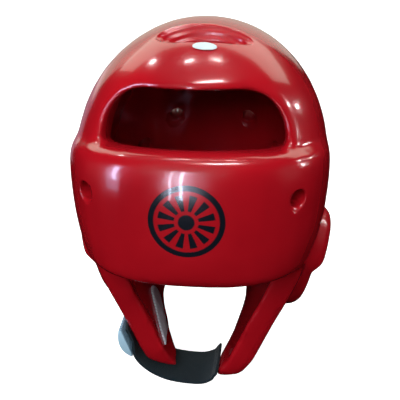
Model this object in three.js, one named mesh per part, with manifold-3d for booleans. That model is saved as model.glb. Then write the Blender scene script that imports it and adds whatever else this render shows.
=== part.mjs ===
// Head guard for sparring: a one-piece dipped-foam shell with a raised brow
// bumper, a vision window above it, a vented crown, ear guards and cheek flaps,
// held under the chin by one wide elastic strap.
// Millimetres, +Z up. The wearer faces -Y, the wearer's left is +X, and the
// origin is where the top of the head meets the inside of the crown.
import * as THREE from "three";
import { mergeVertices } from "three/addons/utils/BufferGeometryUtils.js";
import Module from "manifold-3d";

const wasm = await Module();
wasm.setup();

// Driving sizes of the foam shell.
const wall = 22; // dipped foam, skin to skin
const halfWidth = 98.5; // at the temples, outside
const frontReach = 118; // ear line to the front of the crown form
const rearReach = 122; // ear line to the back of the head
const crownRise = 103; // widest line up to the top of the crown
const chinDrop = 186; // widest line down to the flap tips
const napeDrop = 98; // widest line down to the nape edge
const widestZ = wall - crownRise; // height of the widest line

// Brow bumper.
const bumperHalfWidth = 99.5;
const bumperReach = 127;
const bumperTop = 37; // top edge at the middle, above the widest line
const bumperTopSide = 14; // the same edge over the ears
const bumperDrop = 58; // lower edge at the middle, below the widest line
const bumperDropSide = 78;
const bumperEdge = 12; // roundness of its top edge

// Vision window between the bumper and the crown.
const windowHalfWidth = 66;
const windowTopHalfWidth = 57;
const windowTop = 67; // above the widest line
const windowCorner = 24;
const windowSill = 5; // cut starts here, behind the bumper
const windowFlare = 4; // its sides lean out by this below the corners

// Crown vent: a shallow oval dish with a slot through its floor.
const dishHalfWidth = 33;
const dishHalfDepth = 15;
const dishSink = 4;
const floorHalfWidth = 27; // a second, lower step inside the dish
const floorHalfDepth = 11.5;
const floorSink = 9;
const dishForward = 40;
const dishLeft = 5.5; // it lies this far to the wearer's left of the middle
const dishTilt = 0.25;
const slotHalfWidth = 21;
const slotHalfDepth = 7.5;

// Round vents through the shell.
const ventRadius = 6;
const ventSides = 20;

// Ear guards.
const earHalfLength = 50; // along Z
const earHalfWidth = 34; // along Y
const earY = 4;
const earDrop = 101; // widest line down to the middle of the guard
const earOut = 102.5; // outer face at the middle of the guard
const earRound = 14; // rounded edge
const earTilt = 0.19; // the guard leans in towards the jaw
const earGroove = 12; // width of the groove's mouth
const earGrooveDrop = 101;
const earGrooveDepth = 12;
const earStep = 7; // the pad below the groove lies this much deeper
const earHoleRadius = 8;

// Cheek flaps, seen from the side.
const flapFront = 66; // front edge, forward of the ear line
const flapTipFront = 60;
const flapTipRear = 38;
const flapRound = 12;
const flapLower = 7; // the wearer's left flap hangs this much lower
const bowlHalfWidth = 54; // seen from the front, the tips follow half an oval
const bowlRise = 26;

// Chin strap and what is on it.
const strapWidth = 42;
const strapThickness = 2.5;
const strapFront = 61; // front edge, forward of the ear line
const strapClearance = 0.5;
const strapEase = 0.7; // the stiff band stands off the flap by this
const strapSag = 6.5; // below the flap tips
const strapSteps = 36;
const strapColumns = 5; // faces across the strap
const tapeWidth = 24;
const tapeLength = 26;
const tapeThickness = 2.2;
const tapeCurl = 4;

// Patch inside one flap, and the bare label on the crown.
const patchWidth = 18;
const patchLength = 52;
const patchThickness = 1.5;
const patchSlant = 0.95; // the rear of its lower end is cut off at this slope
const patchForward = 46;
const patchFoot = 0.9; // its lower end, as a share of chinDrop
const patchLean = 0.75;
const labelHalfWidth = 8.3;
const labelHalfDepth = 3.6;
const labelThickness = 0.5;
const labelForward = 60.5;
const seat = 0.3; // clearance between neighbouring pieces

const around = 52; // points round one section
const formPower = 2.3; // roundness of the head form's plan
const red = 0xa8141f;

// Solids

function solidOf(geometry) {
  const bare = geometry.index ? geometry.toNonIndexed() : geometry.clone();
  bare.deleteAttribute("normal");
  bare.deleteAttribute("uv");
  const merged = mergeVertices(bare, 1e-4);
  return new wasm.Manifold(
    new wasm.Mesh({
      numProp: 3,
      vertProperties: new Float32Array(merged.attributes.position.array),
      triVerts: new Uint32Array(merged.index.array),
    }),
  );
}

function meshOf(name, solid, material) {
  const raw = solid.getMesh();
  const geometry = new THREE.BufferGeometry();
  geometry.setAttribute("position", new THREE.BufferAttribute(raw.vertProperties, 3));
  geometry.setIndex(new THREE.BufferAttribute(raw.triVerts, 1));
  geometry.computeVertexNormals();
  const mesh = new THREE.Mesh(geometry, material);
  mesh.name = name;
  return mesh;
}

// A closed skin over rings of points, listed from the bottom up; a ring of one
// point is a pole, and an open end is closed by a fan about its middle, or by
// rungs between the two long sides of a thin band.
function loft(rings, banded = false) {
  const points = [];
  const faces = [];
  const starts = rings.map((ring) => {
    const start = points.length / 3;
    ring.forEach((p) => points.push(p.x, p.y, p.z));
    return start;
  });
  for (let i = 0; i + 1 < rings.length; i++) {
    const [low, high] = [starts[i], starts[i + 1]];
    const [lowCount, highCount] = [rings[i].length, rings[i + 1].length];
    const count = Math.max(lowCount, highCount);
    for (let j = 0; j < count; j++) {
      const next = (j + 1) % count;
      if (lowCount > 1) faces.push(low + j, low + next, high + (highCount > 1 ? next : 0));
      if (highCount > 1) faces.push(low + (lowCount > 1 ? j : 0), high + next, high + j);
    }
  }
  const cap = (ring, start, up) => {
    if (ring.length === 1) return;
    for (let j = 0; banded && j + 1 < ring.length / 2; j++) {
      const [a, b] = [start + j, start + j + 1];
      const [c, d] = [start + ring.length - 2 - j, start + ring.length - 1 - j];
      faces.push(...(up ? [a, b, c, a, c, d] : [c, b, a, d, c, a]));
    }
    if (banded) return;
    const middle = new THREE.Vector3();
    ring.forEach((p) => middle.addScaledVector(p, 1 / ring.length));
    const hub = points.length / 3;
    points.push(middle.x, middle.y, middle.z);
    for (let j = 0; j < ring.length; j++) {
      const next = (j + 1) % ring.length;
      faces.push(hub, start + (up ? j : next), start + (up ? next : j));
    }
  };
  cap(rings[0], starts[0], false);
  cap(rings.at(-1), starts.at(-1), true);
  const geometry = new THREE.BufferGeometry();
  geometry.setAttribute("position", new THREE.Float32BufferAttribute(points, 3));
  geometry.setIndex(faces);
  return solidOf(geometry);
}

// One plan section of a head: a rounded oval, with its own reach to the front
// and to the rear. Height is a number or a function of the point's forward place.
function section(plan, height) {
  const ring = [];
  for (let j = 0; j < around; j++) {
    const turn = (j / around) * 2 * Math.PI;
    const [s, c] = [Math.sin(turn), Math.cos(turn)];
    const reach = c > 0 ? plan.front : plan.rear;
    const power = plan.power ?? formPower;
    const sum = Math.abs(s / plan.width) ** power + Math.abs(c / reach) ** power;
    const radius = sum ** (-1 / power);
    const forward = radius * c;
    const z = typeof height === "function" ? height(forward) : height;
    ring.push(new THREE.Vector3(radius * s, -forward, z));
  }
  return ring;
}

// Lower half of the head form, from the widest line down to the flap tips.
// drop is a share of chinDrop, and width, front and rear are shares of the
// form's own reach; inside is the cavity's front reach as a share of frontReach,
// and power squares the plan up, so that the flaps stand nearly parallel.
const lowerSections = [
  { drop: 1.06, width: 0.3, front: 0.86, rear: 0.5, inside: 0.8, power: 3.2 },
  { drop: 1.0, width: 0.395, front: 0.86, rear: 0.55, inside: 0.8, power: 3.2 },
  { drop: 0.92, width: 0.5, front: 0.86, rear: 0.6, inside: 0.8, power: 3.1 },
  { drop: 0.81, width: 0.59, front: 0.86, rear: 0.68, inside: 0.8, power: 3 },
  { drop: 0.7, width: 0.675, front: 0.86, rear: 0.74, inside: 0.8, power: 3 },
  { drop: 0.585, width: 0.78, front: 0.87, rear: 0.8, inside: 0.82, power: 2.9 },
  { drop: 0.47, width: 0.885, front: 0.88, rear: 0.86, inside: 0.83, power: 2.7 },
  { drop: 0.36, width: 0.945, front: 0.92, rear: 0.92, inside: 0.85, power: 2.6 },
  { drop: 0.22, width: 0.985, front: 0.97, rear: 0.97, inside: 0.86, power: 2.5 },
  { drop: 0.1, width: 1.0, front: 1.0, rear: 0.995, inside: 0.86, power: 2.4 },
];
const domeSteps = 11;
const domePower = 2.2; // roundness of the crown seen from the side
const domeSidePower = 2; // and seen from the front

// The head form grown outwards by some millimetres, or shrunk where negative.
function headForm(grow) {
  const rings = lowerSections.map((row) =>
    section(
      {
        width: row.width * halfWidth + grow,
        front: row.front * frontReach + grow,
        rear: row.rear * rearReach + grow,
        power: row.power,
      },
      widestZ - row.drop * chinDrop,
    ),
  );
  return loft([...rings, ...dome(frontReach + grow, grow)]);
}

function dome(front, grow) {
  const rings = [];
  for (let i = 0; i < domeSteps; i++) {
    const lift = Math.sin((i / domeSteps) * Math.PI / 2);
    const share = (1 - lift ** domePower) ** (1 / domePower);
    const sideShare = (1 - lift ** domeSidePower) ** (1 / domeSidePower);
    rings.push(
      section(
        {
          width: sideShare * (halfWidth + grow),
          front: share * front,
          rear: share * (rearReach + grow),
        },
        widestZ + lift * (crownRise + grow),
      ),
    );
  }
  rings.push([new THREE.Vector3(0, 0, widestZ + crownRise + grow)]);
  return rings;
}

// The hollow for the head, some millimetres smaller where inset is given. Over
// the face its front follows the table's inside column.
function headCavity(inset = 0) {
  const thick = wall + inset;
  const rings = lowerSections.map((row) =>
    section(
      {
        width: row.width * halfWidth - thick,
        front: row.inside * frontReach - inset,
        rear: row.rear * rearReach - thick,
        power: row.power,
      },
      widestZ - row.drop * chinDrop,
    ),
  );
  const browFront = bumperReach - wall - 3 - inset;
  return loft([...rings.map(lowered), ...dome(browFront, -thick)]);
}

// The cavity's lowest section goes on down, so that it is open at the bottom.
function lowered(ring, index) {
  return index > 0 ? ring : ring.map((p) => p.clone().setZ(p.z - wall));
}

// Outlines drawn from the side, forward and up, pushed across the whole width.
const fromSide = new THREE.Matrix4().makeBasis(
  new THREE.Vector3(0, -1, 0),
  new THREE.Vector3(0, 0, 1),
  new THREE.Vector3(-1, 0, 0),
);
// Outlines drawn from the front, left and up, pushed forwards.
const fromFront = new THREE.Matrix4().makeBasis(
  new THREE.Vector3(1, 0, 0),
  new THREE.Vector3(0, 0, 1),
  new THREE.Vector3(0, -1, 0),
);

function pushed(shape, basis, start, depth, curveSegments = 8) {
  const geometry = new THREE.ExtrudeGeometry(shape, {
    depth,
    curveSegments,
    bevelEnabled: false,
  });
  geometry.translate(0, 0, start);
  geometry.applyMatrix4(basis);
  return solidOf(geometry);
}

// What the shell keeps of the head form, seen from the side, with the flap tip
// lowered by some millimetres.
function sideOutline(lower) {
  const far = bumperReach * 1.2;
  const tipZ = widestZ - chinDrop - lower;
  const browZ = widestZ - bumperDropSide + 0.8 * flapRound;
  const earBottom = widestZ - earDrop - earHalfLength;
  const napeZ = widestZ - napeDrop;
  const earRear = earY + earHalfWidth;
  const heel = 0.7 * flapRound;
  const shape = new THREE.Shape();
  shape.moveTo(-far, far);
  shape.lineTo(far, far);
  shape.lineTo(far, browZ + heel);
  shape.lineTo(flapFront + flapRound, browZ);
  shape.quadraticCurveTo(flapFront, browZ, flapFront, browZ - flapRound);
  shape.lineTo(flapTipFront + seat, tipZ + 2.4 * flapRound);
  shape.quadraticCurveTo(flapTipFront, tipZ, flapTipFront - flapRound, tipZ);
  shape.quadraticCurveTo(flapTipRear, tipZ, flapTipRear - flapRound, tipZ + heel);
  shape.lineTo(-earY, earBottom);
  shape.quadraticCurveTo(-earRear, earBottom, -earRear, earBottom + 2 * earRound);
  shape.quadraticCurveTo(-earRear - flapRound, napeZ, -rearReach * 0.62, napeZ);
  shape.lineTo(-far, napeZ);
  shape.closePath();
  return shape;
}

// What it keeps seen from the front: all above the bowl's middle, and below it
// only what lies inside the bowl.
function frontOutline(lower) {
  const middle = widestZ - chinDrop - lower + bowlRise;
  const far = 2 * halfWidth;
  const shape = new THREE.Shape();
  shape.moveTo(far, far);
  shape.lineTo(-far, far);
  shape.lineTo(-far, middle);
  shape.lineTo(-bowlHalfWidth, middle);
  shape.absellipse(0, middle, bowlHalfWidth, bowlRise, Math.PI, 2 * Math.PI, false);
  shape.lineTo(far, middle);
  shape.closePath();
  return shape;
}

// One side of the region that the shell keeps.
function keptSide(side, lower) {
  const near = Math.min(0, -side * 2 * halfWidth);
  const seenAside = pushed(sideOutline(lower), fromSide, near, 2 * halfWidth);
  const depth = 4 * bumperReach;
  const seenInFront = pushed(frontOutline(lower), fromFront, -depth / 2, depth, 16);
  return seenAside.intersect(seenInFront);
}

// The raised bumper round the brow. Its rings lie on two sloping planes and
// between them. width is a share of bumperHalfWidth, and inset draws a ring's
// front in, as a share of bumperEdge, where an edge is rounded.
const bumperRows = [
  { rise: 0, width: 0.875, inset: 0.4 },
  { rise: 0.05, width: 0.915, inset: 0.1 },
  { rise: 0.25, width: 0.965, inset: 0 },
  { rise: 0.45, width: 0.99, inset: 0 },
  { rise: 0.65, width: 1, inset: 0.02 },
  { rise: 0.8, width: 1, inset: 0.12 },
  { rise: 0.9, width: 0.995, inset: 0.35 },
  { rise: 0.97, width: 0.98, inset: 0.75 },
  { rise: 1, width: 0.96, inset: 1.3 },
];
const bumperRear = 70; // the bumper's rings close inside the side walls
const bumperPower = 2.7; // its plan is squarer than the head form

function browBumper() {
  const slope = (side, middle) => (forward) =>
    widestZ + side + ((middle - side) * Math.max(forward, 0)) / bumperReach;
  const low = slope(-bumperDropSide, -bumperDrop);
  const high = slope(bumperTopSide, bumperTop);
  return loft(
    bumperRows.map((row) =>
      section(
        {
          width: bumperHalfWidth * row.width,
          front: bumperReach - row.inset * bumperEdge,
          rear: bumperRear,
          power: bumperPower,
        },
        (forward) => low(forward) + row.rise * (high(forward) - low(forward)),
      ),
    ),
  );
}

function windowCut() {
  const top = widestZ + windowTop;
  const shape = new THREE.Shape();
  const waist = top - windowCorner;
  const shoulder = windowTopHalfWidth - windowCorner;
  const bend = windowTopHalfWidth - 0.1 * windowCorner;
  const bendZ = top - 0.12 * windowCorner;
  shape.moveTo(-windowHalfWidth, widestZ + windowSill);
  shape.lineTo(windowHalfWidth, widestZ + windowSill);
  shape.lineTo(windowTopHalfWidth + windowFlare, waist);
  shape.quadraticCurveTo(bend, bendZ, shoulder, top);
  shape.lineTo(-shoulder, top);
  shape.quadraticCurveTo(-bend, bendZ, -windowTopHalfWidth - windowFlare, waist);
  shape.closePath();
  return pushed(shape, fromFront, wall, bumperReach * 1.2);
}

function oval(halfX, halfY) {
  const shape = new THREE.Shape();
  shape.absellipse(0, 0, halfX, halfY, 0, 2 * Math.PI);
  return shape;
}

// Height of the crown's outer face straight above a place on the middle plane.
function crownZ(forward) {
  const share = 1 - Math.abs(forward / frontReach) ** domePower;
  return widestZ + crownRise * share ** (1 / domePower);
}

function crownVent() {
  const place = new THREE.Matrix4()
    .makeTranslation(dishLeft, -dishForward, crownZ(dishForward))
    .multiply(new THREE.Matrix4().makeRotationX(dishTilt));
  const dish = pushed(oval(dishHalfWidth, dishHalfDepth), place, -dishSink, wall);
  const floor = pushed(oval(floorHalfWidth, floorHalfDepth), place, -floorSink, wall);
  const slot = pushed(oval(slotHalfWidth, slotHalfDepth), place, -2 * wall, 3 * wall);
  return dish.add(floor).add(slot);
}

// Round vents on one side: where each one's axis starts, as shares of halfWidth,
// of frontReach and of crownRise, and the way it points. The rear ones rise
// outwards.
const ventPlaces = [
  { x: 0.6, forward: 0.735, rise: 0.02, aimX: 0.6, aimForward: 0.8, aimUp: 0 },
  { x: 0.376, forward: -0.85, rise: 0.06, aimX: 0.28, aimForward: -0.96, aimUp: 0.5 },
  { x: 0.71, forward: -0.65, rise: -0.14, aimX: 0.62, aimForward: -0.78, aimUp: 0.5 },
];

function roundVent(place, side) {
  const geometry = new THREE.CylinderGeometry(ventRadius, ventRadius, 5 * wall, ventSides);
  const aim = new THREE.Vector3(side * place.aimX, -place.aimForward, place.aimUp).normalize();
  const turn = new THREE.Quaternion().setFromUnitVectors(new THREE.Vector3(0, 1, 0), aim);
  geometry.applyQuaternion(turn);
  geometry.translate(
    side * place.x * halfWidth + aim.x * wall,
    -place.forward * frontReach + aim.y * wall,
    widestZ + place.rise * crownRise + aim.z * wall,
  );
  return solidOf(geometry);
}

// One ear guard: an oval pad standing off the side wall, split by a groove into
// an upper pad and a lower one that lies deeper. It is drawn lying flat, with its
// outer face up, and then turned to its side.
function earGuard(side) {
  const shape = oval(earHalfWidth - earRound, earHalfLength - earRound);
  const geometry = new THREE.ExtrudeGeometry(shape, {
    depth: 2 * wall,
    curveSegments: 10,
    bevelThickness: earRound,
    bevelSize: earRound,
    bevelSegments: 4,
  });
  geometry.translate(0, 0, -2 * wall - earRound);
  const pad = solidOf(geometry);
  const grooveY = earDrop - earGrooveDrop;
  const notch = new THREE.Shape();
  notch.moveTo(grooveY, -earGrooveDepth);
  notch.lineTo(grooveY + earGroove / 2, seat);
  notch.lineTo(grooveY - earGroove / 2, seat);
  notch.closePath();
  const across = new THREE.Matrix4().makeBasis(
    new THREE.Vector3(0, 1, 0),
    new THREE.Vector3(0, 0, 1),
    new THREE.Vector3(1, 0, 0),
  );
  const groove = pushed(notch, across, -2 * earHalfWidth, 4 * earHalfWidth);
  const [above, below] = pad.splitByPlane([0, 1, 0], grooveY);
  const outward = new THREE.Matrix4().makeBasis(
    new THREE.Vector3(0, side, 0),
    new THREE.Vector3(0, 0, 1),
    new THREE.Vector3(side, 0, 0),
  );
  const place = new THREE.Matrix4()
    .makeTranslation(side * earOut, earY, widestZ - earDrop)
    .multiply(new THREE.Matrix4().makeRotationY(side * earTilt))
    .multiply(outward);
  const guard = above.add(below.translate([0, 0, -earStep])).subtract(groove);
  return guard.transform(place.elements);
}

function earHole(side) {
  const geometry = new THREE.CylinderGeometry(earHoleRadius, earHoleRadius, 4 * wall, ventSides);
  geometry.rotateZ(Math.PI / 2);
  geometry.translate(side * earOut, earY, widestZ - earGrooveDrop);
  return solidOf(geometry);
}

function foamShell() {
  const kept = keptSide(-1, 0).add(keptSide(1, flapLower));
  const form = headForm(0).intersect(kept).subtract(windowCut());
  let shell = form.add(browBumper()).add(earGuard(1)).add(earGuard(-1)).subtract(headCavity());
  shell = shell.subtract(crownVent());
  for (const side of [1, -1]) {
    shell = shell.subtract(earHole(side));
    for (const place of ventPlaces) shell = shell.subtract(roundVent(place, side));
  }
  return shell;
}

// Half the width of the head form, or of its hollow where a wall is taken off,
// at a drop as a share of chinDrop and at a forward place.
function formHalfWidth(drop, forward, thick = 0) {
  const rows = lowerSections;
  const upper = rows.findIndex((row) => row.drop <= drop);
  const [a, b] = [rows[upper - 1], rows[upper]];
  const mix = (drop - b.drop) / (a.drop - b.drop);
  const blend = (column) => b[column] + mix * (a[column] - b[column]);
  const front = frontReach * blend(thick > 0 ? "inside" : "front");
  const power = blend("power");
  return (halfWidth * blend("width") - thick) * (1 - (forward / front) ** power) ** (1 / power);
}

// The strap lies against the outside of the wearer's right flap, swings free
// below the chin and ends on the inside of the left flap's tip. The outer
// stations and the inner ones are drops as shares of chinDrop, and the ones
// between are shares of halfWidth from the middle and of strapSag below the tips.
const outerStations = [0.76, 0.83];
const swing = [
  { x: -0.53, sink: -2.6 },
  { x: -0.42, sink: -0.6 },
  { x: -0.24, sink: 0.7 },
  { x: 0, sink: 1 },
];
const innerStations = [1.015, 0.994, 0.973];
const innerEase = 3.3; // the strap's free face off the hollow's wall

function strapX(drop, forward) {
  return formHalfWidth(drop, forward) + strapClearance + strapEase;
}

function strapEdge(forward) {
  const place = (x, drop) => new THREE.Vector2(x, widestZ - drop * chinDrop);
  const tip = widestZ - chinDrop;
  return new THREE.SplineCurve([
    ...outerStations.map((drop) => place(-strapX(drop, forward), drop)),
    ...swing.map((row) => new THREE.Vector2(row.x * halfWidth, tip - row.sink * strapSag)),
    ...innerStations.map((drop) =>
      place(formHalfWidth(drop, forward, wall) - innerEase, drop),
    ),
  ]);
}

function chinStrap() {
  const columns = Array.from({ length: strapColumns + 1 }, (_, j) => {
    const forward = strapFront - strapWidth * (1 - j / strapColumns);
    return { forward, curve: strapEdge(forward) };
  });
  const rings = [];
  for (let i = 0; i <= strapSteps; i++) {
    const corner = ({ forward, curve }, out) => {
      const p = curve.getPoint(i / strapSteps);
      const t = curve.getTangent(i / strapSteps);
      return new THREE.Vector3(p.x + t.y * out, -forward, p.y - t.x * out);
    };
    const inner = columns.map((column) => corner(column, 0));
    const outer = columns.map((column) => corner(column, strapThickness));
    rings.push([...inner, ...outer.reverse()]);
  }
  return loft(rings, true);
}

// The closure's tab lies on the strap's end outside the flap, from the strap's
// first swinging station up, and curls out.
function closureTape() {
  const rear = strapFront - tapeWidth;
  const foot = widestZ - chinDrop - swing[0].sink * strapSag;
  const head = (widestZ - foot - tapeLength) / chinDrop;
  const high = -strapX(head, rear) - strapThickness - seat;
  const low = swing[0].x * halfWidth - strapThickness - 2 * seat;
  const shape = new THREE.Shape();
  shape.moveTo(low, foot);
  shape.lineTo(high, foot + tapeLength);
  shape.lineTo(high - tapeThickness, foot + tapeLength);
  shape.quadraticCurveTo(
    high - tapeThickness - tapeCurl,
    foot + tapeLength / 4,
    low - tapeThickness,
    foot,
  );
  shape.closePath();
  return pushed(shape, fromFront, rear, tapeWidth);
}

// A strip on the inner face of the wearer's right flap, rounded at its top.
function innerPatch() {
  const shape = new THREE.Shape();
  const half = patchWidth / 2;
  shape.moveTo(-half, patchWidth * patchSlant);
  shape.lineTo(half, 0);
  shape.lineTo(half, patchLength - half);
  shape.absarc(0, patchLength - half, half, 0, Math.PI);
  shape.closePath();
  const strip = new THREE.ExtrudeGeometry(shape, { depth: halfWidth, bevelEnabled: false });
  strip.rotateZ(patchLean);
  strip.translate(patchForward, widestZ - patchFoot * chinDrop, 0);
  strip.applyMatrix4(fromSide);
  const skin = headCavity(seat).subtract(headCavity(seat + patchThickness));
  return skin.intersect(solidOf(strip));
}

function crownLabel() {
  const place = new THREE.Matrix4().makeTranslation(dishLeft, -labelForward, 0);
  const column = pushed(oval(labelHalfWidth, labelHalfDepth), place, widestZ, 2 * crownRise);
  return headForm(seat + labelThickness).subtract(headForm(seat)).intersect(column);
}

const foam = new THREE.MeshStandardMaterial({ color: red, roughness: 0.22, metalness: 0 });
const webbing = new THREE.MeshStandardMaterial({ color: 0x16242f, roughness: 0.85, metalness: 0 });
const tape = new THREE.MeshStandardMaterial({ color: 0xbfd9e8, roughness: 0.8, metalness: 0 });
const fleece = new THREE.MeshStandardMaterial({ color: 0xb9bcc6, roughness: 0.9, metalness: 0 });
const paper = new THREE.MeshStandardMaterial({ color: 0xe9eef2, roughness: 0.5, metalness: 0 });

const headGuard = new THREE.Group();
headGuard.add(meshOf("foam_shell", foamShell(), foam));
headGuard.add(meshOf("chin_strap", chinStrap(), webbing));
headGuard.add(meshOf("closure_tape", closureTape(), tape));
headGuard.add(meshOf("inner_patch", innerPatch(), fleece));
headGuard.add(meshOf("crown_label", crownLabel(), paper));

export default headGuard;
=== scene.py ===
# %% [markdown]
# # A dipped-foam head guard for sparring
# The real guard is one block of closed-cell foam, cut to shape and dipped in
# liquid vinyl. The dip gives it a thick, glossy, slightly wavy skin that runs
# over every edge, so nothing on it is sharp. A wide elastic strap, a tab of
# hook-and-loop tape, a fleece strip and a small paper label are added to it.
# This lesson loads the measured frame first, and dresses each of its solids.

# %% The frame and the imports
import math

import bmesh
import bpy
from mathutils import Matrix, Vector
from mathutils.bvhtree import BVHTree


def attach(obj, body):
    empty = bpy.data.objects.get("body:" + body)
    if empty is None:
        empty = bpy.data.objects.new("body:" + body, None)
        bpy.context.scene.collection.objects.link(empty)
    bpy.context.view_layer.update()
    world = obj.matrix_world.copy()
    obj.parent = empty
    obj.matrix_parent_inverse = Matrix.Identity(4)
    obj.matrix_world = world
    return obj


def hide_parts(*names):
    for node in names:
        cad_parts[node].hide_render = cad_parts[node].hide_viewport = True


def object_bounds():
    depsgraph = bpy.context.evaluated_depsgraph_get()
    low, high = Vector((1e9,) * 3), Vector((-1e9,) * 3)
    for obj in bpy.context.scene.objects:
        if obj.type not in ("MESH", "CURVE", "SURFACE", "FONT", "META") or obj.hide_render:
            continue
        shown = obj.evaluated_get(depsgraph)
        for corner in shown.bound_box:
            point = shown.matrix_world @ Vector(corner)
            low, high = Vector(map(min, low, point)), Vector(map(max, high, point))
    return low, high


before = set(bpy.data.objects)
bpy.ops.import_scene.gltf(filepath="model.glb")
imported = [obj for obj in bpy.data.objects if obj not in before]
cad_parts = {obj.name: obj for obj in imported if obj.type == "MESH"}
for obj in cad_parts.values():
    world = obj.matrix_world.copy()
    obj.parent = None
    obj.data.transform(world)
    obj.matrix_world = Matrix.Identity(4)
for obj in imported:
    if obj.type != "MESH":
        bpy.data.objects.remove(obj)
cad_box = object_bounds()
MM = 0.001
print("frame box in metres:", cad_box)

# %% [markdown]
# ## Small helpers
# Colours are picked as sRGB hex values, as a painter reads them from a swatch,
# but shaders want linear light, so one function converts them. A second one
# adds a shader node with its settings and its links in a single call.


# %% Colour and node helpers
def linear(hex_colour):
    """An sRGB hex colour as the linear RGBA that shaders use."""
    channels = [int(hex_colour[i : i + 2], 16) / 255 for i in (0, 2, 4)]
    light = [c / 12.92 if c <= 0.04045 else ((c + 0.055) / 1.055) ** 2.4 for c in channels]
    return (*light, 1.0)


def add_node(tree, kind, settings=None, inputs=None, links=None):
    """A shader node, with its properties, its input values and its incoming links."""
    node = tree.nodes.new(kind)
    for name, value in (settings or {}).items():
        setattr(node, name, value)
    for name, value in (inputs or {}).items():
        node.inputs[name].default_value = value
    for name, socket in (links or {}).items():
        tree.links.new(socket, node.inputs[name])
    return node


def new_material(name, **values):
    """A material with one Principled BSDF, and that shader's values set by name."""
    material = bpy.data.materials.new(name)
    material.use_nodes = True
    shader = material.node_tree.nodes["Principled BSDF"]
    for socket, value in values.items():
        shader.inputs[socket.replace("_", " ")].default_value = value
    return material, material.node_tree, shader


def colour_stops(ramp_node, stops):
    """Sets a colour ramp's stops from pairs of place and colour."""
    ramp = ramp_node.color_ramp
    while len(ramp.elements) < len(stops):
        ramp.elements.new(0.5)
    for element, (place, colour) in zip(ramp.elements, stops):
        element.position = place
        element.color = colour


# %% [markdown]
# ## A print on the bumper
# Such guards carry a dark screen print on the bumper. This one is a plain
# sunburst: a ring, twelve rays and a hub. A decal mesh would need its own
# skin, so the print is painted in the shader instead: a Mapping node moves the
# coordinates to the print's middle and scales them so that its edge is at 1.


# %% Printed roundel
PRINT_Z = -88 * MM
PRINT_RADIUS = 25 * MM
# The ink lies only on skin that is further forward than this.
PRINT_FRONT = 90 * MM
RAYS = 12
# A wave runs round the print and rises to 1 in each ray. Ink sets in at these heights.
RAY_EDGE = (0.42, 0.52)
# Places along the print's radius, and the width in which the ink fades.
INK_FADE = 0.03
HUB_END = 0.2
RAY_START, RAY_END = 0.3, 0.76
RING_START, RING_END = 0.83, 0.985
DARK, BARE = (1, 1, 1, 1), (0, 0, 0, 1)


def roundel_rays(tree, centred):
    """A mask of twelve wedges round the print's middle."""
    round_turn = add_node(
        tree,
        "ShaderNodeTexGradient",
        settings={"gradient_type": "RADIAL"},
        links={"Vector": centred},
    )
    wave = add_node(
        tree,
        "ShaderNodeMath",
        settings={"operation": "MULTIPLY"},
        inputs={1: 2 * RAYS},
        links={0: round_turn.outputs["Fac"]},
    )
    ray = add_node(
        tree,
        "ShaderNodeMath",
        settings={"operation": "PINGPONG"},
        inputs={1: 1.0},
        links={0: wave.outputs["Value"]},
    )
    edge = add_node(
        tree,
        "ShaderNodeMapRange",
        inputs={"From Min": RAY_EDGE[0], "From Max": RAY_EDGE[1]},
        links={"Value": ray.outputs["Value"]},
    )
    return edge.outputs["Result"]


def printed_roundel(tree, place):
    """A mask that is 1 on the print's ink and 0 beside it."""
    centred = add_node(
        tree,
        "ShaderNodeMapping",
        settings={"vector_type": "TEXTURE"},
        inputs={
            "Location": (0, 0, PRINT_Z),
            "Rotation": (math.pi / 2, 0, 0),
            "Scale": (PRINT_RADIUS,) * 3,
        },
        links={"Vector": place},
    ).outputs["Vector"]
    flat = add_node(
        tree,
        "ShaderNodeVectorMath",
        settings={"operation": "MULTIPLY"},
        inputs={1: (1, 1, 0)},
        links={0: centred},
    )
    radius = add_node(
        tree,
        "ShaderNodeVectorMath",
        settings={"operation": "LENGTH"},
        links={0: flat.outputs[0]},
    ).outputs["Value"]
    rings = add_node(tree, "ShaderNodeValToRGB", links={"Fac": radius})
    colour_stops(
        rings,
        [
            (HUB_END, DARK),
            (HUB_END + INK_FADE, BARE),
            (RING_START, BARE),
            (RING_START + INK_FADE, DARK),
            (RING_END, DARK),
            (1.0, BARE),
        ],
    )
    band = add_node(tree, "ShaderNodeValToRGB", links={"Fac": radius})
    colour_stops(
        band,
        [
            (RAY_START, BARE),
            (RAY_START + INK_FADE, DARK),
            (RAY_END - INK_FADE, DARK),
            (RAY_END, BARE),
        ],
    )
    rays = add_node(
        tree,
        "ShaderNodeMath",
        settings={"operation": "MULTIPLY"},
        links={0: roundel_rays(tree, centred), 1: band.outputs["Color"]},
    )
    ink = add_node(
        tree,
        "ShaderNodeMath",
        settings={"operation": "MAXIMUM"},
        links={0: rays.outputs["Value"], 1: rings.outputs["Color"]},
    )
    forward = add_node(tree, "ShaderNodeSeparateXYZ", links={"Vector": centred})
    ahead = add_node(
        tree,
        "ShaderNodeMath",
        settings={"operation": "GREATER_THAN"},
        inputs={1: PRINT_FRONT / PRINT_RADIUS},
        links={0: forward.outputs["Z"]},
    )
    mask = add_node(
        tree,
        "ShaderNodeMath",
        settings={"operation": "MULTIPLY"},
        links={0: ink.outputs["Value"], 1: ahead.outputs["Value"]},
    )
    return mask.outputs["Value"]


# %% [markdown]
# ## The vinyl skin
# Plasticised vinyl has an IOR near 1.53 and, fresh from the dip, a smooth but
# slightly uneven surface. That gives tight highlights with soft, wavering
# edges. The colour is a deep red that pools a little darker here and there.
# Two bumps are used: a long swell for the foam under the skin, about 25 mm
# across, and a fine orange peel of 1.5 mm, drawn coarser than the real one.


# %% Vinyl material
# Sizes of the darker pools, of the foam's swell and of the orange peel.
POOL_MM = 71.43
SWELL_MM = 25.0
PEEL_MM = 1.5385
# A Mix node has one set of sockets per data type. These are the places that colours use.
MIX_FACTOR, MIX_UNDER, MIX_OVER, MIX_RESULT = 0, 6, 7, 2


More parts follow.
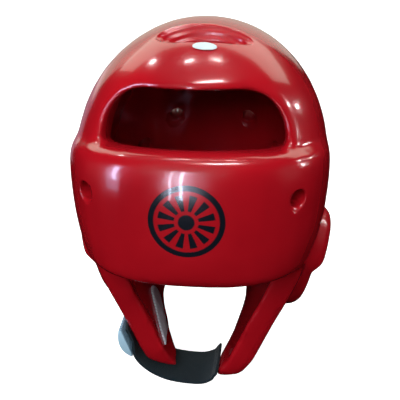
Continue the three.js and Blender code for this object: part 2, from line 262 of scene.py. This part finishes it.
def vinyl_skin():
    """The red skin with its print, its darker pools, its swell and its orange peel."""
    material, tree, shader = new_material(
        "dipped_vinyl_red", IOR=1.53, Coat_Weight=0.4, Coat_Roughness=0.05
    )
    place = add_node(tree, "ShaderNodeTexCoord").outputs["Object"]
    pooled = add_node(
        tree,
        "ShaderNodeTexNoise",
        inputs={"Scale": 1 / (POOL_MM * MM), "Detail": 3.0},
        links={"Vector": place},
    )
    tint = add_node(tree, "ShaderNodeValToRGB", links={"Fac": pooled.outputs["Fac"]})
    colour_stops(tint, [(0.32, linear("a50e1b")), (0.68, linear("b8121f"))])
    inked = add_node(
        tree,
        "ShaderNodeMix",
        settings={"data_type": "RGBA"},
        inputs={MIX_OVER: linear("12161f")},
        links={MIX_FACTOR: printed_roundel(tree, place), MIX_UNDER: tint.outputs["Color"]},
    )
    tree.links.new(inked.outputs[MIX_RESULT], shader.inputs["Base Color"])
    swell = add_node(
        tree,
        "ShaderNodeTexNoise",
        inputs={"Scale": 1 / (SWELL_MM * MM), "Detail": 1.0},
        links={"Vector": place},
    )
    soft = add_node(
        tree,
        "ShaderNodeBump",
        inputs={"Strength": 0.10, "Distance": 4 * MM},
        links={"Height": swell.outputs["Fac"]},
    )
    peel = add_node(
        tree,
        "ShaderNodeTexNoise",
        inputs={"Scale": 1 / (PEEL_MM * MM), "Detail": 2.0},
        links={"Vector": place},
    )
    fine = add_node(
        tree,
        "ShaderNodeBump",
        inputs={"Strength": 0.05, "Distance": 0.3 * MM},
        links={"Height": peel.outputs["Fac"], "Normal": soft.outputs["Normal"]},
    )
    tree.links.new(fine.outputs["Normal"], shader.inputs["Normal"])
    wear = add_node(
        tree,
        "ShaderNodeMapRange",
        inputs={"To Min": 0.15, "To Max": 0.26},
        links={"Value": pooled.outputs["Fac"]},
    )
    tree.links.new(wear.outputs["Result"], shader.inputs["Roughness"])
    print("vinyl skin ready")
    return material


vinyl = vinyl_skin()

# %% [markdown]
# ## The foam shell
# The frame's shell has its true form, but its cut edges are sharp. On the real
# guard the edges are routed round before the dip. Beveling every edge of such
# a shape by hand would be slow, so the copy is remeshed into small even faces
# and then smoothed: smoothing pulls a sharp corner into a round one, and the
# more passes, the larger the radius. The small vent holes and the crown's dish
# would blur under that, so they are plugged first and cut again afterwards,
# each with a lip. The dish's plug is the convex hull of the dome round it.


# %% Copying and placing helpers
def body_copy(node_name, piece_name):
    """A merged copy of a frame solid's mesh as a new object."""
    source = bpy.data.objects[node_name]
    mesh = source.data.copy()
    piece = bpy.data.objects.new(piece_name, mesh)
    bpy.context.scene.collection.objects.link(piece)
    shape = bmesh.new()
    shape.from_mesh(mesh)
    bmesh.ops.remove_doubles(shape, verts=shape.verts, dist=0.001 * MM)
    shape.to_mesh(mesh)
    shape.free()
    mesh.materials.clear()
    return piece


def object_from(shape, name):
    """Ends a bmesh and puts it in the scene as an object."""
    mesh = bpy.data.meshes.new(name)
    shape.to_mesh(mesh)
    shape.free()
    made = bpy.data.objects.new(name, mesh)
    bpy.context.scene.collection.objects.link(made)
    return made


def apply_modifiers(piece):
    """Replaces a piece's mesh by what its modifiers make of it."""
    graph = bpy.context.evaluated_depsgraph_get()
    made = bpy.data.meshes.new_from_object(piece.evaluated_get(graph))
    piece.modifiers.clear()
    piece.data = made


def stood_along(centre, axis):
    """The matrix that moves a shape to a point and stands its Z along an axis."""
    turn = Vector((0, 0, 1)).rotation_difference(axis).to_matrix().to_4x4()
    return Matrix.Translation(centre) @ turn


# %% [markdown]
# ## Where the vents and the dish are
# Three vents on each side go through the foam: one in the bumper's corner and
# two in the rear wall, which rise outwards. Each is given as a point on its
# axis and the way that the axis leans. The dish in the crown leans forward with
# the dome, and lies a little to the wearer's left.

# %% Places of the vents and the dish
WIDEST_Z = -81.0
VENT_RADIUS = 6.0
VENTS = [
    (
        Vector((side * x, -forward, WIDEST_Z + z)) * MM,
        Vector((side * aim_x, -aim_forward, aim_up)).normalized(),
    )
    for side in (1, -1)
    for x, forward, z, aim_x, aim_forward, aim_up in (
        (59.1, 86.7, 2.1, 0.6, 0.8, 0.0),
        (37.0, -100.3, 6.2, 0.28, -0.96, 0.5),
        (69.9, -76.7, -14.4, 0.62, -0.78, 0.5),
    )
]
DISH_CENTRE = Vector((5.5, -40.0, 17.5)) * MM
DISH_TILT = 0.25
DISH_AXIS = Vector((0, -math.sin(DISH_TILT), math.cos(DISH_TILT)))
# Rays that look for the foam's two skins start this far from a vent's point.
FROM_OUTSIDE = 200 * MM
FROM_INSIDE = 30 * MM


def skins_along(surface, point, aim):
    """How far along an axis from a point the outer and the inner skin lie."""
    outer = surface.ray_cast(point + aim * FROM_OUTSIDE, -aim)[0]
    inner = surface.ray_cast(point - aim * FROM_INSIDE, aim)[0]
    return (outer - point).dot(aim), (inner - point).dot(aim)


print("vents:", len(VENTS))

# %% [markdown]
# ## Plugs, even faces and rounding
# A vent's plug has to be as deep as the foam is thick, so that is measured on
# sound foam just above the vent. The window is cut through a curved wall, which
# gives the sharpest edge of all, so the points round it get many more passes.
# A vertex group holds them, and its weight fades in, so that no step shows.

# %% The shell's own mesh
REMESH_VOXEL = 2.0 * MM
SMOOTH_FACTOR = 0.5
ROUNDING_PASSES = 44
# The window's rim is what lies above the first and before the second of these.
RIM_FOOT = -50 * MM
RIM_REAR = -30 * MM
RIM_FADE = 12 * MM
RIM_PASSES = 160
PLUG_DEPTH = 11 * MM
PLUG_REACH = 60 * MM
PLUG_SIDES = 32
# A plug's radius and the height at which sound foam is measured, in vent radii.
PLUG_RADIUS = 1.2
SOUND_FOAM = 1.8


def dome_plug(shell_shape):
    """The dome over the dish, as the hull of the shell's points round it."""
    hull = bmesh.new()
    for vert in shell_shape.verts:
        away = vert.co - DISH_CENTRE
        if away.dot(DISH_AXIS) > -PLUG_DEPTH and away.length < PLUG_REACH:
            hull.verts.new(vert.co)
    made = bmesh.ops.convex_hull(hull, input=hull.verts)
    spare = {v for v in made["geom_interior"] + made["geom_unused"] if v.is_valid}
    bmesh.ops.delete(hull, geom=list(spare), context="VERTS")
    mesh = bpy.data.meshes.new("dome_plug")
    hull.to_mesh(mesh)
    hull.free()
    shell_shape.from_mesh(mesh)


def vent_plug(shape, surface, hub, aim):
    """A cylinder that fills a vent from skin to skin."""
    above = hub + Vector((0, 0, SOUND_FOAM * VENT_RADIUS)) * MM
    outer, inner = skins_along(surface, above, aim)
    start, stop = hub + aim * outer, hub + aim * inner
    bmesh.ops.create_cone(
        shape,
        cap_ends=True,
        segments=PLUG_SIDES,
        radius1=PLUG_RADIUS * VENT_RADIUS * MM,
        radius2=PLUG_RADIUS * VENT_RADIUS * MM,
        depth=(start - stop).length,
        matrix=stood_along((start + stop) / 2, aim),
    )


def smoothing(piece, name, passes):
    """Adds a Smooth modifier with a number of passes."""
    smooth = piece.modifiers.new(name, "SMOOTH")
    smooth.factor = SMOOTH_FACTOR
    smooth.iterations = passes
    return smooth


def foam_shell():
    """The frame's shell with its openings plugged, in even faces and with round edges."""
    piece = body_copy("foam_shell", "foam_shell_skin")
    plugs = bmesh.new()
    plugs.from_mesh(piece.data)
    surface = BVHTree.FromBMesh(plugs)
    dome_plug(plugs)
    for hub, aim in VENTS:
        vent_plug(plugs, surface, hub, aim)
    plugs.to_mesh(piece.data)
    plugs.free()
    remesh = piece.modifiers.new("even_faces", "REMESH")
    remesh.mode = "VOXEL"
    remesh.voxel_size = REMESH_VOXEL
    smoothing(piece, "rounded_edges", ROUNDING_PASSES)
    apply_modifiers(piece)
    return piece


def round_window(piece):
    """More smoothing round the window, whose cut edges are the sharpest."""
    rim = piece.vertex_groups.new(name="window_rim")
    for vert in piece.data.vertices:
        above = (vert.co.z - RIM_FOOT) / RIM_FADE
        before = (RIM_REAR - vert.co.y) / RIM_FADE
        weight = min(above, before, 1.0)
        if weight > 0:
            rim.add([vert.index], weight, "REPLACE")
    smoothing(piece, "rounder_rim", RIM_PASSES).vertex_group = rim.name
    apply_modifiers(piece)


shell = foam_shell()
round_window(shell)
print("shell:", len(shell.data.polygons), "faces")


# %% [markdown]
# ## Vents with a moulded lip
# A hole in dipped foam has a soft funnel at its mouth, because the vinyl
# rounds it over. Each cutter here is one turned profile: straight in the
# middle and flared at both skins. It is spun round the vent's axis.


# %% Vent cutter
LIP = 3.2 * MM
FLARE_STEPS = 5
# A cutter ends well outside the skins, where it is this many lips wider than the hole.
CUTTER_BEYOND = 8 * MM
MOUTH_LIPS = 2.4
SPIN_STEPS = 32


def flare(radius, skin, way):
    """A quarter round from the skin down to the straight wall of the hole."""
    points = []
    for step in range(FLARE_STEPS + 1):
        turn = step / FLARE_STEPS * math.pi / 2
        across = radius + LIP * (1 - math.sin(turn))
        along = skin - way * LIP * (1 - math.cos(turn))
        points.append((across, along))
    return points


def flared_cutter(shape, centre, aim, near, far):
    """Spins a flared profile round an axis. near and far are the two skins' places on it."""
    start = len(shape.verts)
    radius = VENT_RADIUS * MM
    mouth = radius + MOUTH_LIPS * LIP
    profile = [(mouth, far - CUTTER_BEYOND)]
    profile += flare(radius, far, -1)
    profile += list(reversed(flare(radius, near, 1)))
    profile += [(mouth, near + CUTTER_BEYOND)]
    verts = [shape.verts.new((r, 0, h)) for r, h in profile]
    edges = [shape.edges.new(pair) for pair in zip(verts, verts[1:])]
    bmesh.ops.spin(
        shape,
        geom=verts + edges,
        cent=(0, 0, 0),
        axis=(0, 0, 1),
        angle=2 * math.pi,
        steps=SPIN_STEPS,
        use_merge=True,
    )
    bmesh.ops.holes_fill(shape, edges=[edge for edge in shape.edges if edge.is_boundary])
    shape.verts.ensure_lookup_table()
    bmesh.ops.transform(shape, matrix=stood_along(centre, aim), verts=shape.verts[start:])


# %% [markdown]
# ## The dish in the crown
# The crown of such a guard has an oval dish with a slot through its floor, so
# that warm air can leave. Its cutter is a stack of ovals, pulled out of one
# another: two shallow steps that follow the dome's curve, and then the slot.
# One boolean then cuts the dish and all the vents.

# %% Dish cutter
DISH_ROWS = [
    # half width, half depth, depth below the dome, all in millimetres
    (37.0, 19.0, -5.0),
    (36.0, 18.0, -0.6),
    (34.0, 16.0, 0.2),
    (32.6, 14.6, 1.2),
    (32.0, 14.0, 2.6),
    (31.0, 13.2, 3.6),
    (28.6, 12.2, 4.0),
    (27.4, 11.4, 4.6),
    (27.0, 11.0, 6.0),
    (26.0, 10.2, 7.6),
    (23.6, 8.8, 8.2),
    (21.8, 7.8, 8.8),
    (21.0, 7.4, 10.5),
    (21.0, 7.4, 42.0),
]
DISH_SIDES = 72
DOME_RADIUS = 96.0


def dish_cutter(shape):
    """A stack of ovals whose rows follow the dome, for the dish and its slot."""
    start = len(shape.verts)
    ring = bmesh.ops.create_circle(shape, segments=DISH_SIDES, radius=1.0)["verts"]
    edges = list({edge for vert in ring for edge in vert.link_edges})
    was_x = was_y = 1.0
    for row, (half_x, half_y, depth) in enumerate(DISH_ROWS):
        if row:
            made = bmesh.ops.extrude_edge_only(shape, edges=edges)["geom"]
            edges = [item for item in made if isinstance(item, bmesh.types.BMEdge)]
            ring = [item for item in made if isinstance(item, bmesh.types.BMVert)]
        bmesh.ops.scale(shape, vec=(half_x / was_x, half_y / was_y, 1.0), verts=ring)
        for vert in ring:
            vert.co.z = -depth - vert.co.xy.length_squared / (2 * DOME_RADIUS)
        was_x, was_y = half_x, half_y
    bmesh.ops.holes_fill(shape, edges=[edge for edge in shape.edges if edge.is_boundary])
    shape.verts.ensure_lookup_table()
    place = (
        Matrix.Translation(DISH_CENTRE)
        @ Matrix.Rotation(DISH_TILT, 4, "X")
        @ Matrix.Scale(MM, 4)
    )
    bmesh.ops.transform(shape, matrix=place, verts=shape.verts[start:])


# %% Cutting the openings
# The flares start this far outside each skin, so that no sliver is left.
SKIN_CLEAR = 0.3 * MM


def cut_openings(piece):
    """Cuts the vents and the dish out of the smoothed shell."""
    graph = bpy.context.evaluated_depsgraph_get()
    surface = BVHTree.FromObject(piece, graph)
    cutters = bmesh.new()
    for hub, aim in VENTS:
        outer, inner = skins_along(surface, hub, aim)
        flared_cutter(cutters, hub, aim, outer + SKIN_CLEAR, inner - SKIN_CLEAR)
    dish_cutter(cutters)
    bmesh.ops.recalc_face_normals(cutters, faces=cutters.faces)
    tool = object_from(cutters, "opening_cutters")
    cut = piece.modifiers.new("openings", "BOOLEAN")
    cut.operation = "DIFFERENCE"
    cut.object = tool
    cut.solver = "EXACT"
    apply_modifiers(piece)
    bpy.data.objects.remove(tool)


cut_openings(shell)
shell.data.shade_smooth()
shell.data.materials.append(vinyl)
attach(shell, "root")
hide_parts("foam_shell")
print("shell with its openings:", len(shell.data.polygons), "faces")

# %% [markdown]
# ## Elastic webbing
# The chin strap is a woven elastic: fine ribs run along its length, 1.2 mm
# apart, and the weft shows as a finer grain across them. A woven cloth is rough
# and has little gloss, so it looks dull beside the vinyl. The strap keeps the
# frame's form, with its edges rounded by a small bevel.


# %% Webbing material
# A Wave texture of scale 1 turns through this many radians in a metre.
WAVE_RATE = 20.0
# The weft's grain is drawn a little coarser than the real one, so that it shows.
WEFT_MM = 1.1111
WEFT_SHARE = 0.5


def woven(name, light, dark, rib_mm, rough):
    """A ribbed cloth, paler on the ribs than between them: painted shade in the grooves
    between ribs, with a random grain from the weft.
    """
    material, tree, shader = new_material(
        name, Roughness=rough, Sheen_Weight=0.1, Specular_IOR_Level=0.25
    )
    place = add_node(tree, "ShaderNodeTexCoord").outputs["Object"]
    ribs = add_node(
        tree,
        "ShaderNodeTexWave",
        settings={"bands_direction": "Y", "wave_profile": "SIN"},
        inputs={
            "Scale": math.tau / (WAVE_RATE * rib_mm * MM),
            "Distortion": 0.4,
            "Detail": 1.0,
        },
        links={"Vector": place},
    )
    weft = add_node(
        tree,
        "ShaderNodeTexNoise",
        inputs={"Scale": 1 / (WEFT_MM * MM), "Detail": 2.0},
        links={"Vector": place},
    )
    height = add_node(
        tree,
        "ShaderNodeMath",
        settings={"operation": "MULTIPLY_ADD"},
        inputs={1: WEFT_SHARE},
        links={0: weft.outputs["Fac"], 2: ribs.outputs["Fac"]},
    )
    # The colour follows the weave's height: painted shade darkens the grooves between ribs,
    # and the weft adds a random grain.
    tint = add_node(tree, "ShaderNodeValToRGB", links={"Fac": height.outputs["Value"]})
    colour_stops(tint, [(0.2, linear(dark)), (1.0, linear(light))])
    bump = add_node(
        tree,
        "ShaderNodeBump",
        inputs={"Strength": 0.5, "Distance": 0.4 * MM},
        links={"Height": height.outputs["Value"]},
    )
    tree.links.new(tint.outputs["Color"], shader.inputs["Base Color"])
    tree.links.new(bump.outputs["Normal"], shader.inputs["Normal"])
    print(name, "ready")
    return material


webbing = woven("navy_elastic_webbing", "12272f", "08151b", rib_mm=1.2, rough=0.8)


# %% The dressed strap
# Angles in radians. Triangles that meet flatter than the first are joined, if the
# corners come within the second of square. Edges sharper than the third are rounded.
JOIN_ANGLE = 0.35
JOIN_SHAPE = 1.2
SHARP_ANGLE = 0.9


def dressed(node_name, piece_name, material, edge_mm, levels):
    """A frame solid's copy with rounded edges, in its own material."""
    piece = body_copy(node_name, piece_name)
    shape = bmesh.new()
    shape.from_mesh(piece.data)
    bmesh.ops.join_triangles(
        shape,
        faces=shape.faces,
        angle_face_threshold=JOIN_ANGLE,
        angle_shape_threshold=JOIN_SHAPE,
    )
    sharp = [e for e in shape.edges if e.is_manifold and e.calc_face_angle() > SHARP_ANGLE]
    bmesh.ops.bevel(
        shape,
        geom=sharp,
        offset=edge_mm * MM,
        segments=2,
        profile=0.5,
        affect="EDGES",
        material=-1,
    )
    shape.to_mesh(piece.data)
    shape.free()
    if levels:
        fine = piece.modifiers.new("fine", "SUBSURF")
        fine.levels = levels
        fine.render_levels = levels
    piece.data.shade_smooth()
    piece.data.materials.append(material)
    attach(piece, "root")
    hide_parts(node_name)
    print(piece_name, len(piece.data.polygons), "faces")


dressed(
    "chin_strap", "chin_strap_webbing", webbing, edge_mm=0.7, levels=2
)

# %% [markdown]
# ## Tab, fleece strip and label
# The closure tab is pale hook tape with coarse rows, and the fleece strip is a
# brushed loop cloth that scatters light softly. Both are woven, so they take
# the webbing's material with other colours and ribs. The label is coated paper:
# smoother than the cloths, and left plain.

# %% The small soft pieces
hook_tape = woven("pale_hook_tape", "b4dcf4", "78b0d6", rib_mm=2.4, rough=0.7)
dressed("closure_tape", "closure_tab", hook_tape, edge_mm=0.6, levels=0)
loop_fleece = woven("grey_loop_fleece", "c9ccd6", "9a9eac", rib_mm=1.8, rough=0.9)
dressed("inner_patch", "fleece_strip", loop_fleece, edge_mm=0.3, levels=0)
label_stock = new_material(
    "coated_label_paper", Roughness=0.35, Base_Color=linear("cfdfe4")
)[0]
dressed("crown_label", "label_blank", label_stock, edge_mm=0.1, levels=0)

# %% [markdown]
# ## Floor and backdrop
# A glossy skin shows its surroundings, and a white floor would lay a pale veil
# over the red. So the floor and the backdrop are hidden from the guard's mirror
# and diffuse rays, and glow a little, to be white without lighting the guard.


# %% Stage
STAGE_HALF = 2.5
STAGE_WHITE = "fafafa"
STAGE_GLOW = 0.95
FLOOR_GAP = 20 * MM
BACKDROP_Y = 1.2
BACKDROP_RISE = 1.0


def stage_plane(name, place, turn_x):
    """A large white square that only the camera sees."""
    shape = bmesh.new()
    bmesh.ops.create_grid(shape, x_segments=1, y_segments=1, size=STAGE_HALF)
    turned = Matrix.Translation(place) @ Matrix.Rotation(turn_x, 4, "X")
    bmesh.ops.transform(shape, matrix=turned, verts=shape.verts)
    plane = object_from(shape, name)
    paint = new_material(
        name + "_paint",
        Roughness=0.9,
        Base_Color=linear(STAGE_WHITE),
        Specular_IOR_Level=0.1,
        Emission_Color=linear(STAGE_WHITE),
        Emission_Strength=STAGE_GLOW,
    )[0]
    plane.data.materials.append(paint)
    plane.visible_glossy = False
    plane.visible_diffuse = False


floor_z = cad_box[0][2] - FLOOR_GAP
stage_plane("floor", (0, 0, floor_z), 0.0)
stage_plane("backdrop", (0, BACKDROP_Y, floor_z + BACKDROP_RISE), math.pi / 2)
print("floor at", floor_z)

# %% [markdown]
# ## Lamps and sky
# The lamps are of two kinds. The soft ones light the colour and are hidden from
# mirror rays. The others are only there to be mirrored: each one stands where a
# photograph of such a guard shows a highlight, and a wide panel behind pales the
# crown's top. The sky is pale for the camera and lights nothing.

# %% Lamps
GUARD_MIDDLE = Vector((0, -0.02, -0.1))
WHITE = "ffffff"
# Each row: name, direction from the guard, distance, width, height, watts, colour.
SOFT_LAMPS = [
    ("soft_front", (-0.15, -0.8, 0.6), 1.5, 1.0, 1.0, 18, WHITE),
    ("soft_top", (0.0, 0.1, 1.0), 1.5, 1.4, 1.4, 17, WHITE),
    ("soft_left", (-1.0, -0.35, 0.05), 1.5, 0.8, 0.8, 8, WHITE),
    ("soft_back", (0.1, 1.0, 0.4), 1.5, 1.0, 1.0, 9, WHITE),
    ("soft_right", (1.0, -0.2, 0.2), 1.5, 0.8, 0.8, 7, WHITE),
]
MIRRORED_LAMPS = [
    ("rear_panel_high", (0.0, 1.0, 0.98), 1.3, 2.4, 0.6, 9, "e4e8d8"),
    ("rear_panel_low", (-0.2, 1.0, 0.28), 1.4, 1.6, 0.8, 3, "e4e8d8"),
    ("ceiling_strip", (0.12, -0.28, 0.95), 1.2, 0.36, 0.07, 5, WHITE),
    ("ceiling_lamp_a", (-0.48, 0.35, 0.8), 1.2, 0.07, 0.07, 0.8, WHITE),
    ("ceiling_lamp_b", (-0.14, 0.21, 0.97), 1.2, 0.1, 0.04, 0.7, WHITE),
    ("ceiling_lamp_c", (0.1, 0.25, 0.96), 1.2, 0.1, 0.03, 0.7, WHITE),
    ("left_window", (-0.77, -0.55, 0.15), 1.1, 0.32, 0.85, 3, "c9d4ff"),
    ("left_window_pane", (-0.77, -0.55, 0.2), 1.1, 0.14, 0.5, 4, "c9d4ff"),
    ("rear_left_window", (-0.6, 0.8, -0.08), 1.2, 0.4, 0.45, 0.25, "f0d0e8"),
    ("front_tube_a", (-0.13, -0.97, 0.14), 1.1, 0.02, 0.85, 3.6, "dfe6ff"),
    ("front_tube_b", (-0.19, -0.96, 0.14), 1.1, 0.015, 0.85, 2.0, "dfe6ff"),
    ("right_lamp_a", (0.82, 0.47, 0.32), 1.2, 0.05, 0.05, 0.6, WHITE),
    ("right_lamp_b", (0.85, 0.26, 0.46), 1.2, 0.05, 0.05, 0.6, WHITE),
    ("right_tube", (0.95, 0.17, 0.24), 1.2, 0.04, 0.2, 1.0, WHITE),
]


def looking(place, way):
    """The matrix of a lamp or camera that stands at a place and looks along a direction."""
    return Matrix.Translation(place) @ way.to_track_quat("-Z", "Y").to_matrix().to_4x4()


def area_light(name, way, distance, width, height, watts, hex_colour, mirrored):
    """A rectangular lamp that stands off the guard in a given direction."""
    data = bpy.data.lights.new(name, "AREA")
    data.shape = "RECTANGLE"
    data.size = width
    data.size_y = height
    data.energy = watts
    data.color = linear(hex_colour)[:3]
    lamp = bpy.data.objects.new(name, data)
    stand_off = Vector(way).normalized() * distance
    lamp.matrix_world = looking(GUARD_MIDDLE + stand_off, -stand_off)
    lamp.visible_glossy = mirrored
    lamp.visible_diffuse = not mirrored
    bpy.context.scene.collection.objects.link(lamp)


for lamp_row in SOFT_LAMPS:
    area_light(*lamp_row, mirrored=False)
for lamp_row in MIRRORED_LAMPS:
    area_light(*lamp_row, mirrored=True)
print("lamps:", len(SOFT_LAMPS), "soft and", len(MIRRORED_LAMPS), "mirrored")

# %% Sky
SKY_COLOUR = "f4f4f6"
SKY_STRENGTH = 1.0

world = bpy.data.worlds.new("studio_air")
bpy.context.scene.world = world
bpy.context.scene.view_settings.view_transform = "Standard"
world.use_nodes = True
air = world.node_tree.nodes["Background"]
air.inputs["Color"].default_value = linear(SKY_COLOUR)
air.inputs["Strength"].default_value = SKY_STRENGTH
world.cycles_visibility.diffuse = False
world.cycles_visibility.glossy = False

# %% [markdown]
# ## Camera
# The photograph's view was fitted to the guard's outline: from the front, a
# little to the wearer's left, and well above. Its lens follows from the focal
# length in pixels and the picture's width in pixels.

# %% The photograph's camera
VIEW_TURN = math.radians(5.5)
VIEW_LIFT = math.radians(24.0)
VIEW_DISTANCE = 500 * MM
SENSOR_WIDTH = 36.0
CLIP_START = 10 * MM
FOCAL_PX = 584
FRAME_PX = 400
AXIS_PX = 4
LOOK_Z = -128.4 * MM

camera_data = bpy.data.cameras.new("camera")
camera_data.sensor_width = SENSOR_WIDTH
camera_data.lens = FOCAL_PX / FRAME_PX * SENSOR_WIDTH
camera_data.clip_start = CLIP_START
camera = bpy.data.objects.new("camera", camera_data)
bpy.context.scene.collection.objects.link(camera)
back = Vector(
    (
        math.sin(VIEW_TURN) * math.cos(VIEW_LIFT),
        -math.cos(VIEW_TURN) * math.cos(VIEW_LIFT),
        math.sin(VIEW_LIFT),
    )
)
right = Vector((math.cos(VIEW_TURN), math.sin(VIEW_TURN), 0))
target = Vector((0, 0, LOOK_Z)) - right * (AXIS_PX * VIEW_DISTANCE / FOCAL_PX)
camera.matrix_world = looking(target + back * VIEW_DISTANCE, -back)
bpy.context.scene.camera = camera
print("camera lens:", camera_data.lens, "mm")
